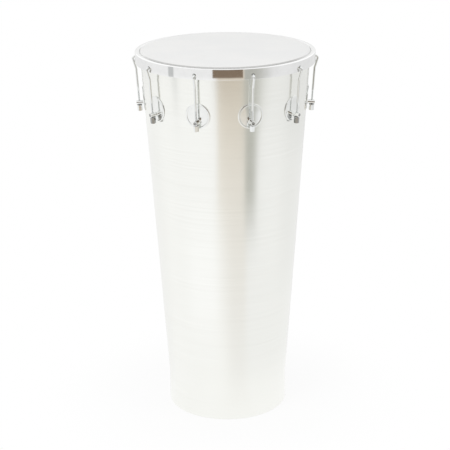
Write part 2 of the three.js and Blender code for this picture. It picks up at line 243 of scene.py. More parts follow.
def revolved(profile, count, closed=True):
    """Surface of revolution: the point (r, h) of the profile, at the turn t, lies at (r cos t, r sin t, h).

    An open profile starts and ends on the axis, where its end points become single poles. The profile is
    taken in the direction that makes its faces point outwards.
    """
    profile = np.asarray(profile, float)
    ahead = np.roll(profile, -1, axis=0)
    if (profile[:, 0] * ahead[:, 1] - ahead[:, 0] * profile[:, 1]).sum() > 0:
        profile = profile[::-1]
    turn = np.arange(count) * 2 * np.pi / count
    pole = profile[:, 0] < 1e-9
    rings = profile[~pole]
    grid = np.stack([rings[:, :1] * np.cos(turn), rings[:, :1] * np.sin(turn),
                     np.repeat(rings[:, 1:], count, axis=1)], axis=-1).reshape(-1, 3)
    poles = np.column_stack([profile[pole, 0], profile[pole, 0], profile[pole, 1]])
    index = np.empty((len(profile), count), int)
    index[~pole] = np.arange(len(grid)).reshape(-1, count)
    index[pole] = len(grid) + np.arange(len(poles))[:, None]
    return np.vstack([grid, poles]), ring_faces(index, closed)


def capped_rows(rows):
    """Faces of a stack of rings, an array of rows x columns x 3, closed by a pole at each end's middle."""
    count, columns = rows.shape[:2]
    points = np.vstack([rows.reshape(-1, 3), rows[0].mean(0), rows[-1].mean(0)])
    index = np.vstack([np.full((1, columns), count * columns),
                       np.arange(count * columns).reshape(count, columns),
                       np.full((1, columns), count * columns + 1)])
    return points, ring_faces(index, closed=False)


def swept_tube(path, places, radii, sides):
    """Tube along a path in the plane y = 0: at the arc length s and angle a it lies at
    p(s) + r(s, a) (cos a * n + sin a * y), where n = y x t is square to the path's direction t."""
    steps = np.linalg.norm(np.diff(path, axis=0), axis=1)
    length = np.concatenate([[0], np.cumsum(steps)])
    x, z = np.interp(places, length, path[:, 0]), np.interp(places, length, path[:, 1])
    middle = (length[1:] + length[:-1]) / 2
    heading = np.unwrap(np.arctan2(np.diff(path[:, 0]), np.diff(path[:, 1])))
    lean = np.interp(places, middle, heading)
    angle = np.arange(sides) * 2 * np.pi / sides
    out = radii(places[:, None], angle[None, :])
    side = out * np.cos(angle)
    rows = np.stack([x[:, None] + side * np.cos(lean)[:, None], out * np.sin(angle),
                     z[:, None] - side * np.sin(lean)[:, None]], axis=-1)
    return capped_rows(rows[::-1])


def round_bar(radius, low, high, count):
    """A straight bar about +Z, flat at both ends."""
    return revolved([[0, low], [radius, low], [radius, high], [0, high]], count, closed=False)


def box_surface(low, high):
    """The six faces of an upright block between two corners."""
    low, high = np.asarray(low, float), np.asarray(high, float)
    corner = np.array([[i & 1, i >> 1 & 1, i >> 2 & 1] for i in range(8)])
    faces = [[0, 2, 3, 1], [4, 5, 7, 6], [0, 1, 5, 4], [2, 6, 7, 3], [0, 4, 6, 2], [1, 3, 7, 5]]
    return low + corner * (high - low), np.array(faces)


# Meshes.

def mesh_of(name, points, quads):
    """A mesh in metres; a quad that touches a pole twice becomes a triangle."""
    quads = np.asarray(quads)
    top, bottom = quads[:, 0] == quads[:, 3], quads[:, 1] == quads[:, 2]
    whole = quads[~top & ~bottom]
    triangles = np.vstack([quads[top][:, :3], quads[bottom][:, [0, 1, 3]]])
    corners = np.concatenate([whole.ravel(), triangles.ravel()]).astype(np.int32)
    sizes = np.concatenate([np.full(len(whole), 4), np.full(len(triangles), 3)])
    mesh = bpy.data.meshes.new(name)
    mesh.vertices.add(len(points))
    mesh.vertices.foreach_set("co", (np.asarray(points) * MM).astype(np.float32).ravel())
    mesh.loops.add(len(corners))
    mesh.loops.foreach_set("vertex_index", corners)
    mesh.polygons.add(len(sizes))
    mesh.polygons.foreach_set("loop_start", np.concatenate([[0], np.cumsum(sizes)[:-1]]).astype(np.int32))
    mesh.update(calc_edges=True)
    mesh.validate()
    return mesh


def carved(mesh, steps):
    """The mesh after a row of exact Boolean steps, each a pair of operation and surface."""
    made = bpy.data.objects.new("carved", mesh)
    bpy.context.scene.collection.objects.link(made)
    tools = []
    for operation, surface in steps:
        tool = bpy.data.objects.new("tool", mesh_of("tool", *surface))
        bpy.context.scene.collection.objects.link(tool)
        tools.append(tool)
        cut = made.modifiers.new(operation.lower(), "BOOLEAN")
        cut.operation, cut.solver, cut.object = operation, "EXACT", tool
    bpy.context.view_layer.update()
    result = bpy.data.meshes.new_from_object(made.evaluated_get(bpy.context.evaluated_depsgraph_get()))
    for spent in [made, *tools]:
        bpy.data.objects.remove(spent)
    return result


def finished(mesh, name, material, body, nodes, sharp=32):
    """The mesh as a piece: smooth but for edges sharper than the given degrees, riding on its body."""
    mesh.materials.clear()
    mesh.materials.append(material)
    mesh.shade_smooth()
    mesh.set_sharp_from_angle(angle=math.radians(sharp))
    piece = bpy.data.objects.new(name, mesh)
    bpy.context.scene.collection.objects.link(piece)
    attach(piece, body)
    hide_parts(*nodes)


def points_of(mesh):
    """A mesh's points, in metres, as an array of three columns."""
    flat = np.empty(len(mesh.vertices) * 3, np.float32)
    mesh.vertices.foreach_get("co", flat)
    return flat.reshape(-1, 3).astype(float)


def at_station(mesh, index, name):
    """A copy of a mesh made on the side of the shell, moved to its station.

    On the side +X leaves the sheet and +Z climbs it. Leaning by the cone's angle gives the radial plane, and
    the station's angle turns that plane about the drum's axis.
    """
    lean, turn = SIDE_LEAN, -math.pi / 2 + (index + 0.5) * 2 * math.pi / STATIONS
    tilt = np.array([[math.cos(lean), 0, math.sin(lean)], [0, 1, 0], [-math.sin(lean), 0, math.cos(lean)]])
    spin = np.array([[math.cos(turn), -math.sin(turn), 0], [math.sin(turn), math.cos(turn), 0], [0, 0, 1]])
    moved = (points_of(mesh) @ tilt.T + np.array([LUG_R, 0, LUG_Z]) * MM) @ spin.T
    copy = mesh.copy()
    copy.name = name
    copy.vertices.foreach_set("co", moved.astype(np.float32).ravel())
    copy.update()
    return copy


def side_point(points):
    """Points of the radial plane, in radius and height, as distance out of the side and along it."""
    r, z = points[:, 0] - LUG_R, points[:, 1] - LUG_Z
    c, s = math.cos(SIDE_LEAN), math.sin(SIDE_LEAN)
    return np.column_stack([r * c - z * s, r * s + z * c])


def outward(surface, height):
    """A surface turned about +Z, laid down so that its axis leaves the shell at a height along the side."""
    points, faces = surface
    return np.column_stack([points[:, 2], points[:, 1], height - points[:, 0]]), faces


def along_rod(surface):
    """A surface turned about +Z, moved out to the rod's axis."""
    points, faces = surface
    return points + np.array([ROD_STANDOFF, 0, 0]), faces


# Shader maths.

class Value:
    """A number or vector that varies over a surface. Working with values adds Math nodes to their finish."""

    def __init__(self, finish, socket):
        self.finish, self.socket = finish, socket

    def _math(self, operation, first, second):
        return self.finish.maths(operation, first, second)

    def __add__(self, other):
        return self._math("ADD", self, other)

    def __radd__(self, other):
        return self._math("ADD", other, self)

    def __sub__(self, other):
        return self._math("SUBTRACT", self, other)

    def __rsub__(self, other):
        return self._math("SUBTRACT", other, self)

    def __mul__(self, other):
        return self._math("MULTIPLY", self, other)

    def __rmul__(self, other):
        return self._math("MULTIPLY", other, self)


class Finish:
    """A node tree that is filled by calls: of a material, or of the world."""

    def __init__(self, owner):
        owner.use_nodes = True
        self.owner, self.tree = owner, owner.node_tree
        self.tree.nodes.clear()

    def node(self, kind, settings=None, sockets=None, output=0):
        """Adds a node, its settings first and then its sockets' values or links, and gives one output."""
        made = self.tree.nodes.new(kind)
        for key, value in (settings or {}).items():
            setattr(made, key, value)
        for key, value in (sockets or {}).items():
            if isinstance(value, Value):
                self.tree.links.new(value.socket, made.inputs[key])
            else:
                made.inputs[key].default_value = value
        return Value(self, made.outputs[output]) if len(made.outputs) else made

    def maths(self, operation, *numbers):
        """A Math node on one or two numbers."""
        return self.node("ShaderNodeMath", {"operation": operation}, dict(enumerate(numbers)))

    def length(self, first, second):
        """The root of the sum of two numbers' squares."""
        return self.maths("SQRT", first * first + second * second)

    def place(self):
        return self.node("ShaderNodeTexCoord", output="Object")

    def parts(self, vector):
        return [self.node("ShaderNodeSeparateXYZ", None, {0: vector}, output=i) for i in range(3)]

    def scaled(self, vector, x, y, z):
        return self.node("ShaderNodeMapping", None, {"Vector": vector, "Scale": (x, y, z)})

    def noise(self, vector, scale, detail=2.0, rough=0.5, distortion=0.0):
        return self.node("ShaderNodeTexNoise", None, {
            "Vector": vector, "Scale": scale, "Detail": detail, "Roughness": rough, "Distortion": distortion})

    def step(self, value, low, high, out_low=0.0, out_high=1.0, kind="SMOOTHSTEP"):
        """Smooth or linear step of a value from one level to another, held beyond both."""
        return self.node("ShaderNodeMapRange", {"interpolation_type": kind},
                         {0: value, 1: low, 2: high, 3: out_low, 4: out_high})

    def edge(self, distance, ends, out_low=0.0, out_high=1.0):
        """Smooth step of a distance between two ends that are given in millimetres."""
        return self.step(distance, ends[0] * MM, ends[1] * MM, out_low, out_high)

    def blend(self, share, first, second):
        """Colour between two colours."""
        first, second = [c if isinstance(c, Value) else (*c, 1.0) for c in (first, second)]
        return self.node("ShaderNodeMix", {"data_type": "RGBA"}, {0: share, 6: first, 7: second}, output=2)

    def bump(self, height, distance, strength, below=None):
        sockets = {"Height": height, "Distance": distance, "Strength": strength}
        if below is not None:
            sockets["Normal"] = below
        return self.node("ShaderNodeBump", None, sockets)

    def ray(self, kind):
        """One for light rays of the kind, such as Camera or Glossy."""
        return self.node("ShaderNodeLightPath", output=f"Is {kind} Ray")

    def mixed(self, share, first, second):
        """Two shaders, with the share of the second."""
        return self.node("ShaderNodeMixShader", None, {0: share, 1: first, 2: second})

    def surface(self, **sockets):
        """The principled shader and the output; underscores in a name stand for spaces."""
        named = {key.replace("_", " "): value for key, value in sockets.items()}
        shader = self.node("ShaderNodeBsdfPrincipled", None, named)
        self.node("ShaderNodeOutputMaterial", None, {"Surface": shader})
        return self.owner


def new_finish(name):
    return Finish(bpy.data.materials.new(name))


# Finishes.

def spun_aluminium():
    """Bright aluminium with the fine rings that spinning and polishing leave, and a few faint smears."""
    f = new_finish("spun_aluminium")
    p = f.place()
    rings = f.noise(f.scaled(p, 4, 4, 900), 1.0, 3.0, 0.6)
    fine = f.noise(f.scaled(p, 14, 14, 3200), 1.0, 2.0, 0.6)
    smear = f.noise(p, 7.0, 4.0, 0.62, 0.6)
    haze = f.noise(p, 2.3, 2.0, 0.5)
    mark = f.step(smear, 0.46, 0.72)
    rough = 0.145 + 0.05 * rings + 0.04 * mark + 0.03 * haze
    tone = f.blend(f.step(rings, 0.3, 0.7), (0.908, 0.912, 0.876), (0.942, 0.947, 0.915))
    tone = f.blend(f.step(haze, 0.35, 0.65, 0.0, 0.4), tone, (0.942, 0.945, 0.902))
    grain = f.bump(fine, 0.00002, 0.35, f.bump(rings, 0.00004, 0.3))
    return f.surface(Base_Color=tone, Metallic=1.0, Roughness=rough, Normal=grain)


def post_recess_shade(f, p):
    """One where shade is painted inside the recess in the end of each lug's post, found along the post's axis
    and about it.

    The bearing, with four whole turns added to keep it positive, is folded to its angle from the nearest
    station, and r times that angle's sine is the distance beside the axis. r and z, turned back by the
    lean, give the distances along the axis and above it. It is weaker in the recess's middle.
    """
    x, y, z = f.parts(p)
    r = f.length(x, y)
    fold = f.maths("PINGPONG", f.maths("ARCTAN2", y, x) + 4 * FULL_TURN, math.pi / STATIONS)
    beside = r * f.maths("SINE", fold)
    outside, up = r - LUG_R * MM, z - LUG_Z * MM
    along = outside * math.cos(SIDE_LEAN) - up * math.sin(SIDE_LEAN)
    above = outside * math.sin(SIDE_LEAN) + up * math.cos(SIDE_LEAN) + POST_DROP * MM
    middle = f.length(beside, above)
    # Painted shade inside the recess of the post's end.
    return (f.edge(along, RECESS_DEPTH) * (1 - f.edge(middle, RECESS_SIDE))
            * f.edge(middle, RECESS_MIDDLE, RECESS_MIDDLE_SHARE, 1.0))


def rim_inside_shade(f, p):
    """One on the rim's inner face, and in its holes behind the outer skin, where shade is painted."""
    x, y, z = f.parts(p)
    r = f.length(x, y)
    # Painted shade on the inner face and in the holes.
    behind = f.edge(r, RIM_INSIDE_FROM) * (1 - f.edge(r, RIM_INSIDE_TO))
    return behind * (1 - f.edge(z, RIM_INSIDE_BELOW))


def chrome_plate(name, tone, rough, wave, streaks=False, painted_shade=None):
    """Plated steel: a mirror with a slow ripple under the plating, faint wipe marks and dull specks.

    Streaks draw the wipe marks out round the piece, and the last argument is a mask where shade is painted dark
    onto the plating.
    """
    f = new_finish(name)
    p = f.place()
    ripple = f.noise(p, wave, 1.0, 0.4)
    wipe_place, wipe_scale = (f.scaled(p, 60, 60, 420), 1.0) if streaks else (p, 90.0)
    wipe = f.noise(wipe_place, wipe_scale, 3.0, 0.6, 0.4)
    speck = f.step(f.noise(p, 900.0, 2.0, 0.6), 0.6, 0.72)
    colour = f.blend(f.step(wipe, 0.35, 0.75, 0.0, 0.6), tone, tuple(0.94 * c for c in tone))
    colour = f.blend(0.25 * speck, colour, tuple(0.7 * c for c in tone))
    if painted_shade:
        # Painted shade: the plating is darkened to a dark tone where the mask is.
        colour = f.blend(painted_shade(f, p), colour, PAINTED_SHADE_TONE)
    return f.surface(Base_Color=colour, Metallic=1.0, Roughness=rough + 0.05 * wipe + 0.12 * speck,
                     Normal=f.bump(ripple, 0.0002, 0.12))


def coated_film():
    """White sprayed film: a fine pebbled grain, slightly uneven in tone, with faint greyer traces.

    The film has painted shade in a ring where it bends down over the shell's edge. The shade is strongest in
    front, and faint at the sides and the back.
    """
    f = new_finish("coated_film")
    p = f.place()
    x, y, _ = f.parts(p)
    middle = f.length(x, y)
    front = f.edge(0 - y, FILM_FRONT, FILM_BACK_SHARE, FILM_FRONT_SHARE)
    ring = front * f.edge(middle, FILM_SHADE_RING)
    grain = f.noise(p, 1500.0, 2.0, 0.65)
    spray = f.noise(p, 420.0, 2.0, 0.55)
    cloud = f.noise(p, 9.0, 3.0, 0.55)
    trace = f.noise(p, 26.0, 4.0, 0.6, 0.8)
    tone = f.blend(f.step(cloud, 0.3, 0.7), (0.806, 0.81, 0.806), (0.836, 0.834, 0.824))
    tone = f.blend(f.step(trace, 0.58, 0.78, 0.0, 0.22), tone, (0.77, 0.77, 0.755))
    # Painted shade in the ring where the film bends over the edge.
    tone = f.blend(ring, tone, FILM_PAINTED_SHADE)
    rough = 0.5 + 0.16 * spray + 0.06 * f.step(trace, 0.5, 0.8)
    return f.surface(Base_Color=tone, Roughness=rough, IOR=1.5,
                     Normal=f.bump(grain, 0.00012, 0.35, f.bump(spray, 0.0002, 0.2)))


def channel_aluminium():
    """Extruded aluminium, drawn along its length, with dull oxide patches."""
    f = new_finish("channel_aluminium")
    p = f.place()
    drawn = f.noise(f.scaled(p, 6, 6, 1500), 1.0, 2.0, 0.6)
    oxide = f.noise(p, 60.0, 3.0, 0.6)
    tone = f.blend(f.step(oxide, 0.4, 0.7), (0.72, 0.72, 0.72), (0.60, 0.60, 0.60))
    return f.surface(Base_Color=tone, Metallic=1.0, Roughness=0.3 + 0.15 * oxide + 0.05 * drawn,
                     Normal=f.bump(drawn, 0.00005, 0.3))


def zinc_steel(name, tone):
    """Zinc-plated steel with cloudy crystals."""
    f = new_finish(name)
    p = f.place()
    crystal = f.noise(p, 700.0, 3.0, 0.6)
    cloud = f.noise(p, 180.0, 2.0, 0.5)
    colour = f.blend(f.step(cloud, 0.35, 0.65), tone, tuple(0.86 * c for c in tone))
    return f.surface(Base_Color=colour, Metallic=1.0, Roughness=0.2 + 0.14 * crystal + 0.06 * cloud,
                     Normal=f.bump(crystal, 0.00008, 0.25))


# Pieces.

def shell_surface():
    """Spun shell: straight foot with a flange turned inward, a slow bend into the cone, and a rolled edge."""
    lean = SIDE_LEAN
    bend_r = FOOT_RADIUS + FOOT_BEND
    bend_z = FOOT_STRAIGHT - FOOT_BEND * math.tan(lean / 2)
    edge_r, half = FOOT_RADIUS - FOOT_EDGE_ROUND, SHELL_WALL / 2
    flange = FOOT_RADIUS - FOOT_FLANGE
    lip_r = ROLL_CENTRE + (ROLL_RADIUS - half) * math.cos(ROLL_SWEEP)
    lip_z = ROLL_Z + (ROLL_RADIUS - half) * math.sin(ROLL_SWEEP)
    return revolved(np.vstack([
        arc(edge_r, FOOT_EDGE_ROUND, FOOT_EDGE_ROUND, -math.pi / 2, 0, 8),
        arc(bend_r, bend_z, FOOT_BEND, math.pi, math.pi - lean, 16),
        arc(ROLL_CENTRE, ROLL_Z, ROLL_RADIUS, -lean, math.pi / 2, 14),
        arc(ROLL_CENTRE, ROLL_Z, ROLL_RADIUS, math.pi / 2, ROLL_SWEEP, 22)[1:],
        arc(lip_r, lip_z, half, ROLL_SWEEP, ROLL_SWEEP + math.pi, 6)[1:-1],
        arc(ROLL_CENTRE, ROLL_Z, ROLL_RADIUS - SHELL_WALL, ROLL_SWEEP, -lean, 28),
        arc(bend_r, bend_z, FOOT_BEND + SHELL_WALL, math.pi - lean, math.pi, 16),
        arc(edge_r, FOOT_EDGE_ROUND, FOOT_INNER_ROUND, 0, -math.pi / 2, 6),
        arc(flange + half, half, half, math.pi / 2, 3 * math.pi / 2, 6),
    ]), 360)


def film_surface():
    """Head: flat over the drum, bent over the rolled edge, then down into the slot of the channel ring.

    The stiff film stands off the edge in the bend: at the turn t it is FILM_FULLNESS sin(2 t)^2 further out.
    """
    slot_r = HOOP_INNER + HOOP_LIP_WALL + HOOP_SLOT_WIDTH / 2
    mouth_z = HOOP_TOP - HOOP_LIP_DROP
    end_z = HOOP_BOTTOM + HOOP_SLOT_FLOOR + GAP
    middle, half = ROLL_RADIUS + GAP + FILM_THICKNESS / 2, FILM_THICKNESS / 2
    across, down = slot_r - ROLL_CENTRE, mouth_z - ROLL_Z
    leaving = math.atan2(down, across) + math.acos(middle / math.hypot(across, down))

    def face(offset):
        flat = np.linspace(0, ROLL_CENTRE, 14)[:-1]
        top = np.column_stack([flat, np.full(len(flat), ROLL_Z + middle + offset)])
        turn = np.linspace(math.pi / 2, leaving, 20)
        radius = middle + offset + FILM_FULLNESS * np.where(turn > 0, np.sin(2 * turn), 0) ** 2
        bend = np.column_stack([ROLL_CENTRE + radius * np.cos(turn), ROLL_Z + radius * np.sin(turn)])
        return np.vstack([top, bend])

    return revolved(np.vstack([
        face(-half),
        [[slot_r - half, mouth_z], [slot_r - half, end_z], [slot_r + half, end_z], [slot_r + half, mouth_z]],
        face(half)[::-1],
    ]), 240, closed=False)


def hoop_surface():
    """Channel ring: a high outer wall, a low inner lip and the slot between them."""
    lip = HOOP_INNER + HOOP_LIP_WALL
    slot = lip + HOOP_SLOT_WIDTH
    return revolved(rounded([
        [HOOP_INNER, HOOP_BOTTOM], [HOOP_OUTER, HOOP_BOTTOM], [HOOP_OUTER, HOOP_TOP], [slot, HOOP_TOP],
        [slot, HOOP_BOTTOM + HOOP_SLOT_FLOOR], [lip, HOOP_BOTTOM + HOOP_SLOT_FLOOR],
        [lip, HOOP_TOP - HOOP_LIP_DROP], [HOOP_INNER, HOOP_TOP - HOOP_LIP_DROP],
    ], HOOP_EDGE, 3), 240)


def rim_mesh():
    """Rim: a deep band, a rounded shoulder and a flange inward, with a round hole at each station."""
    corners = [
        [RIM_INNER, RIM_BOTTOM], [RIM_OUTER, RIM_BOTTOM], [RIM_OUTER, RIM_TOP],
        [RIM_FLANGE_INNER, RIM_TOP], [RIM_FLANGE_INNER, RIM_TOP - RIM_WALL], [RIM_INNER, RIM_TOP - RIM_WALL],
    ]
    rounds = [RIM_LOWER_INNER_ROUND, RIM_LOWER_OUTER_ROUND, RIM_SHOULDER,
              RIM_FLANGE_EDGE, RIM_FLANGE_EDGE, RIM_INNER_ROUND]
    band = revolved(rounded(corners, rounds, 10), 360)
    drill_points, drill_faces = round_bar(HOOK_HOLE, -CUT_OVERRUN, CUT_OVERRUN, 40)
    lying = np.column_stack([drill_points[:, 2] + RIM_OUTER, drill_points[:, 1], HOLE_Z - drill_points[:, 0]])
    turn = -np.pi / 2 + (np.arange(STATIONS) + 0.5) * 2 * np.pi / STATIONS
    points = np.stack([lying[:, 0] * np.cos(turn)[:, None] - lying[:, 1] * np.sin(turn)[:, None],
                       lying[:, 0] * np.sin(turn)[:, None] + lying[:, 1] * np.cos(turn)[:, None],
                       np.broadcast_to(lying[:, 2], (STATIONS, len(lying)))], axis=-1).reshape(-1, 3)
    faces = (drill_faces[None] + len(lying) * np.arange(STATIONS)[:, None, None]).reshape(-1, 4)
    return carved(mesh_of("rim", *band), [("DIFFERENCE", (points, faces))])


def hook_surface():
    """Tension hook: a rod up the side that leans out at a knee, bends over and drops through the rim.

    The thread is a right-hand helix: its depth is a wave of s / pitch - a / (one turn), which fades out at
    the end of the cut.
    """
    bend = side_point(arc(BEND_R, BEND_Z, BEND_RADIUS, -KNEE_LEAN, math.pi, 64))
    tip = side_point(np.array([[HOOK_INSIDE, BEND_Z - HOOK_TIP]]))
    turn = KNEE_LEAN - SIDE_LEAN
    knee_z = bend[0, 1] - (bend[0, 0] - ROD_STANDOFF) / math.tan(turn)
    knee = arc(ROD_STANDOFF + KNEE_RADIUS, knee_z - KNEE_RADIUS * math.tan(turn / 2), KNEE_RADIUS,
               math.pi, math.pi - turn, 24)
    foot_z = NUT_BOTTOM - TAIL_LENGTH
    path = np.vstack([[[ROD_STANDOFF, foot_z]], knee, bend, tip])
    length = np.linalg.norm(np.diff(path, axis=0), axis=1).sum()
    knee_start, knee_end = knee[0, 1] - foot_z, knee[0, 1] - foot_z + KNEE_RADIUS * turn
    bend_start = length - HOOK_TIP - BEND_RADIUS * (math.pi + KNEE_LEAN)
    places = np.concatenate([
        [0, ROD_CHAMFER / 2],
        np.arange(ROD_CHAMFER, THREAD_LENGTH, THREAD_PITCH / 8),
        np.linspace(THREAD_LENGTH, knee_start, 6)[1:],
        np.linspace(knee_start, knee_end, 10)[1:],
        np.linspace(knee_end, bend_start, 6)[1:],
        np.linspace(bend_start, length - HOOK_TIP, 48)[1:],
        length - TIP_ROUND * (1 - np.sin(np.linspace(0, math.pi / 2, 8))),
    ])
    chamfer_depth = THREAD_DEPTH + ROD_CHAMFER_SINK

    def radii(s, angle):
        wave = np.abs(2 * np.mod(s / THREAD_PITCH - angle / (2 * np.pi), 1) - 1)
        depth = THREAD_DEPTH * np.clip((THREAD_LENGTH - s) / (2 * THREAD_PITCH), 0, 1)
        threaded = ROD_RADIUS - depth * wave
        chamfered = ROD_RADIUS - chamfer_depth + np.clip(s / ROD_CHAMFER, 0, 1) * chamfer_depth
        over = np.clip((s - length + TIP_ROUND) / TIP_ROUND, 0, 1)
        tip_radius = ROD_RADIUS - TIP_ROUND * (1 - np.sqrt(1 - over ** 2))
        return np.minimum(np.minimum(threaded, chamfered), tip_radius)

    return swept_tube(path, places, radii, 24)


def cone_face(y, z, gap):
    """Distance out of the side at which the cone lies, at y across it and z along it, plus a gap.

    Where c and s are the lean's cosine and sine and a = R + z s, the distance x solves
    x^2 (c^2 - s^2) / c^2 + 2 a x / c + y^2 = 0.
    """
    c, s = math.cos(SIDE_LEAN), math.sin(SIDE_LEAN)
    a = LUG_R + z * s
    k = c * c - s * s
    return c * (-a + np.sqrt(a * a - y * y * k)) / k + gap


def lug_plate(count=96):
    """Dished plate that follows the shell: rings over its face from the middle out, and back under it.

    A ring of radius q lies at the height h(q) above the cone. In the dish h is
    LUG_DISH + LUG_DOME (1 - (q / dish)^2), and two quarter ovals carry it up onto the lip and over its edge.
    """
    turn = np.arange(count) * 2 * np.pi / count
    dish_r = LUG_RADIUS - LUG_LIP_WIDTH
    crown = np.linspace(LUG_MIDDLE, dish_r, 18)
    dish = np.column_stack([crown, LUG_DISH + LUG_DOME * (1 - (crown / dish_r) ** 2)])
    inner = arc(0, 0, 1, math.pi, math.pi / 2, 8)[1:] * [LUG_LIP_RUN, LUG_LIP_HEIGHT - LUG_DISH]
    outer = arc(0, 0, 1, math.pi / 2, 0, 12) * [LUG_EDGE_RUN, LUG_EDGE_DROP]
    face = np.vstack([
        dish,
        inner + [dish_r + LUG_LIP_RUN, LUG_DISH],
        outer + [LUG_RADIUS - LUG_EDGE_RUN, LUG_LIP_HEIGHT - LUG_EDGE_DROP],
    ])
    under = np.linspace(LUG_RADIUS - LUG_UNDER_START, LUG_MIDDLE, 14)
    radius = np.concatenate([face[:, 0], [LUG_RADIUS, LUG_RADIUS - LUG_UNDER_EDGE], under])
    y, z = radius[:, None] * np.sin(turn), radius[:, None] * np.cos(turn)
    height = np.full(len(radius), GAP)
    height[:len(face)] = face[:, 1]
    height[len(face)] = GAP + LUG_UNDER_EDGE
    out = cone_face(y, z, height[:, None])
    return capped_rows(np.stack([out, y, z], axis=-1))


def lug_mesh():
    """Lug: the plate joined to its post, with a hole for the rod, a seat for the washer and a screw hole."""
    fillet_x = LUG_DISH + LUG_DOME - POST_FILLET_SINK + POST_FILLET
    post = outward(revolved(np.vstack([
        [[0, POST_FOOT], [POST_RADIUS + POST_FILLET, POST_FOOT]],
        arc(POST_RADIUS + POST_FILLET, fillet_x, POST_FILLET, -math.pi / 2, -math.pi, 8),
        arc(POST_RADIUS - POST_ROUND, POST_REACH - POST_ROUND, POST_ROUND, 0, math.pi / 2, 8),
        arc(DIMPLE_RADIUS + DIMPLE_ROUND, POST_REACH - DIMPLE_ROUND, DIMPLE_ROUND, math.pi / 2, math.pi, 8),
        [[DIMPLE_RADIUS * DIMPLE_FLOOR_SHARE, POST_REACH - DIMPLE_DEPTH],
         [0, POST_REACH - DIMPLE_DEPTH - DIMPLE_SAG]],
    ]), 64, closed=False), -POST_DROP)
    rod_hole = along_rod(round_bar(ROD_BORE, -POST_DROP - ROD_BORE_REACH, -POST_DROP + ROD_BORE_REACH, 48))
    screw_hole = outward(round_bar(SCREW_BORE, -CUT_OVERRUN, SCREW_BORE_DEPTH, 32), -POST_DROP)
    seat_z = -POST_DROP - POST_RADIUS + SEAT_CUT
    seat = box_surface([ROD_STANDOFF - WASHER_RADIUS - GAP, -SEAT_HALF_WIDTH, seat_z - CUT_OVERRUN],
                       [POST_REACH + SEAT_OVERRUN, SEAT_HALF_WIDTH, seat_z])
    return carved(mesh_of("lug", *lug_plate()), [
        ("UNION", post), ("DIFFERENCE", seat), ("DIFFERENCE", rod_hole), ("DIFFERENCE", screw_hole)])


def washer_surface():
    """Flat washer with stamped, slightly rounded edges."""
    return along_rod(revolved(rounded([
        [ROD_BORE, WASHER_BOTTOM], [WASHER_RADIUS, WASHER_BOTTOM],
        [WASHER_RADIUS, WASHER_TOP], [ROD_BORE, WASHER_TOP],
    ], WASHER_ROUNDS, 4), 48))


def nut_surface(turned, count=72):
    """Hexagon nut that is turned about its rod by some degrees.

    At the turn t its side is flat / cos(t - the nearest flat's turn) from the axis. A 30-degree cone takes
    off the corners at both ends, so the height taken off is the part of the corner outside the face's
    circle times tan 30. The bore is countersunk.
    """
    turn = np.arange(count) * 2 * np.pi / count
    side = NUT_FLAT / np.cos(np.mod(turn, np.pi / 3) - np.pi / 6)
    face = NUT_FLAT * NUT_FACE_SHARE
    drop = (side - face) * math.tan(math.radians(30))
    sunk, lip = NUT_BORE + NUT_SINK, face - NUT_EDGE
    top, bottom = NUT_TOP - NUT_EDGE / 3, NUT_BOTTOM + NUT_EDGE / 3
    radii = (NUT_BORE, sunk, lip, face, side, side, face, lip, sunk, NUT_BORE)
    heights = (NUT_TOP - NUT_SINK, NUT_TOP, NUT_TOP, top, top - drop,
               bottom + drop, bottom, NUT_BOTTOM, NUT_BOTTOM, NUT_BOTTOM + NUT_SINK)
    radius = np.stack([np.broadcast_to(value, count) for value in radii])
    height = np.stack([np.broadcast_to(value, count) for value in heights])
    place = turn + math.radians(turned)
    rows = np.stack([radius * np.cos(place), radius * np.sin(place), height], axis=-1)
    index = np.arange(radius.size).reshape(radius.shape)
    return along_rod((rows.reshape(-1, 3), ring_faces(index, closed=True)))


def screw_mesh():
    """Pan-headed screw inside the shell, with a cross recess in its head."""
    seat = -SHELL_WALL - GAP
    top = seat - SCREW_HEAD_HEIGHT
    body = outward(revolved(np.vstack([
        [[0, top]],
        arc(SCREW_HEAD - SCREW_HEAD_ROUND, top + SCREW_HEAD_ROUND, SCREW_HEAD_ROUND, -math.pi / 2, 0, 8),
        [[SCREW_HEAD, seat - SCREW_HEAD_EDGE], [SCREW_HEAD - SCREW_HEAD_EDGE, seat], [SCREW_SHANK, seat],
         [SCREW_SHANK, SCREW_REACH - SCREW_POINT], [SCREW_SHANK - SCREW_POINT, SCREW_REACH],
         [0, SCREW_REACH]],
    ]), 40, closed=False), -POST_DROP)
    slots = [("DIFFERENCE", box_surface([top - SLOT_OVERRUN, -w, -POST_DROP - h],
                                        [top + SLOT_DEPTH, w, -POST_DROP + h]))
             for w, h in ((SLOT_HALF_LENGTH, SLOT_HALF_WIDTH), (SLOT_HALF_WIDTH, SLOT_HALF_LENGTH))]
    return carved(mesh_of("screw", *body), slots)


aluminium = spun_aluminium()
rim_chrome = chrome_plate("rim_chrome", (0.90, 0.902, 0.898), 0.03, 38.0, painted_shade=rim_inside_shade)
hook_chrome = chrome_plate("hook_chrome", (0.83, 0.845, 0.84), 0.035, 160.0, streaks=True)
lug_chrome = chrome_plate("lug_chrome", (0.885, 0.895, 0.88), 0.09, 120.0, painted_shade=post_recess_shade)
nut_chrome = chrome_plate("nut_chrome", (0.86, 0.875, 0.87), 0.06, 220.0)
dark_chrome = chrome_plate("dark_chrome", (0.40, 0.405, 0.40), 0.11, 220.0)
nut_finishes = [dark_chrome if index + 1 in DARK_NUTS else nut_chrome for index in range(STATIONS)]
washer_zinc = zinc_steel("washer_zinc", (0.68, 0.685, 0.68))
screw_zinc = zinc_steel("screw_zinc", (0.62, 0.62, 0.60))

